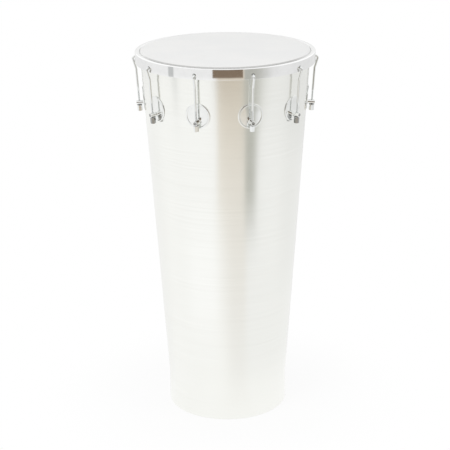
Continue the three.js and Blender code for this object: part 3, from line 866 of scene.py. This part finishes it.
finished(mesh_of("shell_spun", *shell_surface()), "shell_spun", aluminium,
         "shell_assembly", ["shell"])
finished(mesh_of("head_coated", *film_surface()), "head_coated", coated_film(),
         "head_assembly", ["drumhead_film"])
finished(mesh_of("channel_ring", *hoop_surface()), "channel_ring", channel_aluminium(),
         "head_assembly", ["flesh_hoop"])
finished(rim_mesh(), "rim_drilled", rim_chrome, "head_assembly", ["rim"])

station_pieces = [
    ("hook_rod", [mesh_of("hook", *hook_surface())] * STATIONS, [hook_chrome] * STATIONS,
     "hook_{}", "hook_chrome", "hook_{}"),
    ("lug_dished", [lug_mesh()] * STATIONS, [lug_chrome] * STATIONS,
     "shell_assembly", "lug_chrome", "lug_{}"),
    ("washer_flat", [mesh_of("washer", *washer_surface())] * STATIONS, [washer_zinc] * STATIONS,
     "shell_assembly", "washer_steel", "washer_{}"),
    ("nut_hexagon", [mesh_of("nut", *nut_surface(turned)) for turned in NUT_TURNS], nut_finishes,
     "nut_{}", "nut_chrome", "nut_{}"),
    ("screw_pan", [screw_mesh()] * STATIONS, [screw_zinc] * STATIONS,
     "shell_assembly", "screw_steel", "lug_screw_{}"),
]
for label, meshes, finishes, body, slot, node in station_pieces:
    for index in range(STATIONS):
        name = f"{label}_{index + 1}"
        finished(at_station(meshes[index], index, name), name, finishes[index],
                 body.format(index + 1), [node.format(index + 1)])


# Studio, in metres and degrees.
FLOOR_HALF_WIDTH = 30.0
FLOOR_Z = -0.0002
LAMP_AIM = (0, 0, 0.4)
WHITE = (1, 1, 1, 1)
PAPER = (0.93, 0.93, 0.93, 1)
BRIGHT_FLOOR = (1.04, 1.04, 1.045)
TAN_FLOOR = (0.75, 0.68, 0.58)
LOW_WHITE = (0.93, 0.93, 0.925)
SIDE_WHITE = (1.12, 1.12, 1.12)
TOP_WHITE = (0.85, 0.85, 0.86)

# The plain brown stand in front: the bearings of its sides, its colour on the floor, and its colour above it.
STAND_LEFT, STAND_RIGHT = -14.5, 22.5
STAND_BROWN = (0.24, 0.18, 0.13)
STAND_BROWN_ABOVE = (0.13, 0.095, 0.07)

# The grey-green stand beside it, the thin grey one on the left, and how soft the stands' sides are.
BESIDE_GREEN = (0.50, 0.50, 0.46)
BESIDE_GREEN_ABOVE = (0.45, 0.45, 0.42)
THIN_LEFT, THIN_RIGHT = -73.4, -65.6
THIN_GREY = (0.17, 0.19, 0.19)
SIDE_SOFTNESS = 0.6


def flat_card(name, half_width, height, material):
    """A level square about the drum's axis."""
    mesh = bpy.data.meshes.new(name)
    w = half_width
    mesh.from_pydata([(-w, -w, height), (w, -w, height), (w, w, height), (-w, w, height)], [], [(0, 1, 2, 3)])
    mesh.materials.append(material)
    card = bpy.data.objects.new(name, mesh)
    bpy.context.scene.collection.objects.link(card)


def bearing(f, x, y):
    """Angle about the drum's axis, in degrees, from straight ahead, and rising to the right."""
    return f.maths("ARCTAN2", x, 0 - y) * (180 / math.pi)


def between(f, value, low, high, soft):
    """One between two levels, none outside them, with edges that are soft to each side of the level."""
    return f.step(value, low - soft, low + soft) * (1 - f.step(value, high - soft, high + soft))


def floor_dullness(f, angle, d, right):
    """How much darker than white metal sees the floor: the sum of six soft areas.

    Each is a share of darkening times steps in bearing and distance, which rise between two levels.
    """
    near_right = 0.065 * right * f.step(d, 0.15, 0.4)
    far_right = 0.06 * f.step(angle, 45, 75) * f.step(d, 1.7, 2.3)
    past_stand = 0.08 * f.step(angle, 20, 26) * (1 - f.step(angle, 50, 80)) * f.step(d, 2.7, 3.2)
    back_right = 0.05 * f.step(angle, 75, 110) * f.step(d, 0.4, 1.2)
    back_left = 0.045 * f.step(0 - angle, 90, 130)
    far_left = 0.075 * f.step(d, 2.6, 3.2) * (1 - right)
    return near_right + far_right + past_stand + back_right + back_left + far_left


def floor_paper():
    """White paper that keeps a soft shadow. Metal sees uneven whites on it, and the feet of three stands.

    These areas aren't known from the room: they were fitted to the tones of the metal in the photograph.
    A place on it has its bearing, in degrees, and its distance d from the drum's axis. The brown stand is
    ahead: the floor turns tan towards its foot, and beyond d = 2.8 it is the stand's own plain colour. A
    grey-green stand is beside it on the right, where the floor is duller. On the left the floor is brighter
    near the drum, and a thin grey stand is further out.
    """
    f = new_finish("floor_paper")
    x, y, _ = f.parts(f.place())
    angle, d = bearing(f, x, y), f.length(x, y)
    right, far = f.step(angle, -8, 14), f.step(d, 1.9, 2.6)
    dull = floor_dullness(f, angle, d, right)
    bright = (f.step(angle, -75, -45) * (1 - f.step(angle, -20, -5))
              * f.step(d, 0.4, 0.65) * (1 - f.step(d, 1.0, 1.3)))
    near = f.step(d, 1.0, 1.4)
    facing = (f.step(angle, -24 + 10 * f.step(d, 1.0, 1.8), 14 - 20 * near) * (1 - f.step(angle, 26, 36))
              * f.step(d, 0.1, 2.6, kind="LINEAR"))
    beside_end = 65 - 14 * f.step(d, 1.0, 1.3) + 18 * far
    beside = (f.step(angle, 25 - 3 * far, 31 - 5 * far) * (1 - f.step(angle, 37 - 3 * far, beside_end))
              * f.step(d, 0.98, 1.4))
    stand = between(f, angle, STAND_LEFT, STAND_RIGHT, SIDE_SOFTNESS) * f.step(d, 2.8, 3.1)
    thin = between(f, angle, THIN_LEFT, THIN_RIGHT, SIDE_SOFTNESS) * f.step(d, 2.3, 3.0)
    colour = f.blend(dull, (1, 1, 1), (0, 0, 0))
    colour = f.blend(bright, colour, BRIGHT_FLOOR)
    colour = f.blend(facing, colour, TAN_FLOOR)
    colour = f.blend(beside, colour, BESIDE_GREEN)
    colour = f.blend(stand, colour, STAND_BROWN)
    colour = f.blend(0.45 * thin, colour, THIN_GREY)
    clear = f.ray("Camera") * f.step(d, 0.15, 0.45, 0.85, 1.0)
    mirror = f.ray("Glossy") + f.ray("Transmission")
    paper = f.node("ShaderNodeBsdfDiffuse", None, {"Color": PAPER})
    seen = f.node("ShaderNodeEmission", None, {"Color": WHITE, "Strength": 1.0})
    mirrored = f.node("ShaderNodeEmission", None, {"Color": colour, "Strength": 1.0})
    look = f.mixed(mirror, f.mixed(clear, paper, seen), mirrored)
    f.node("ShaderNodeOutputMaterial", None, {"Surface": look})
    return f.owner


def studio_world(level):
    """White for the camera and plain light for the piece. Metal sees whites that change with height, and the
    upper parts of the two wide stands."""
    world = bpy.data.worlds.new("studio")
    bpy.context.scene.world = world
    f = Finish(world)
    x, y, z = f.parts(f.node("ShaderNodeTexCoord", output="Generated"))
    angle = bearing(f, x, y)
    stand = between(f, angle, STAND_LEFT, STAND_RIGHT, SIDE_SOFTNESS) * (1 - f.step(z, 0.45, 0.6))
    beside = f.step(angle, 18, 22) * (1 - f.step(angle, 33, 66)) * (1 - f.step(z, 0.3, 0.5))
    mirrored = f.blend(f.step(z, 0.211, 0.225), LOW_WHITE, SIDE_WHITE)
    mirrored = f.blend(f.step(z, 0.7, 0.95), mirrored, TOP_WHITE)
    mirrored = f.blend(0.8 * beside, mirrored, BESIDE_GREEN_ABOVE)
    mirrored = f.blend(stand, mirrored, STAND_BROWN_ABOVE)
    plain = f.node("ShaderNodeBackground", None, {"Color": WHITE, "Strength": level})
    white = f.node("ShaderNodeBackground", None, {"Color": WHITE, "Strength": 1.0})
    metal = f.node("ShaderNodeBackground", None, {"Color": mirrored, "Strength": 1.0})
    look = f.mixed(f.ray("Glossy"), f.mixed(f.ray("Camera"), plain, white), metal)
    f.node("ShaderNodeOutputWorld", None, {"Surface": look})


def softbox(name, place, aim, size, power):
    """A square lamp that faces a point; metal doesn't see it."""
    light = bpy.data.lights.new(name, "AREA")
    light.shape, light.size, light.energy = "SQUARE", size, power
    lamp = bpy.data.objects.new(name, light)
    lamp.location = place
    lamp.rotation_mode = "QUATERNION"
    lamp.rotation_quaternion = (Vector(aim) - Vector(place)).to_track_quat("-Z", "Y")
    lamp.visible_glossy = False
    bpy.context.scene.collection.objects.link(lamp)


flat_card("floor", FLOOR_HALF_WIDTH, FLOOR_Z, floor_paper())
studio_world(0.80)
softbox("key", (-1.6, -1.9, 2.6), LAMP_AIM, 1.8, 26)
softbox("fill", (2.0, -1.2, 2.2), LAMP_AIM, 2.2, 11)

# Camera, solved from the drum's outline in the photograph.
camera_data = bpy.data.cameras.new("camera")
camera_data.lens, camera_data.sensor_width = 113.3, 36.0
camera = bpy.data.objects.new("camera", camera_data)
bpy.context.scene.collection.objects.link(camera)
eye, aim, roll = Vector((0.0513, -2.9196, 1.4108)), Vector((-0.0033, 0.0, 0.4056)), -0.0083
camera.location = eye
camera.rotation_mode = "QUATERNION"
camera.rotation_quaternion = (aim - eye).to_track_quat("-Z", "Y") @ Quaternion((0, 0, 1), roll)
bpy.context.scene.camera = camera
bpy.context.scene.view_settings.view_transform = "Standard"

bpy.context.view_layer.update()
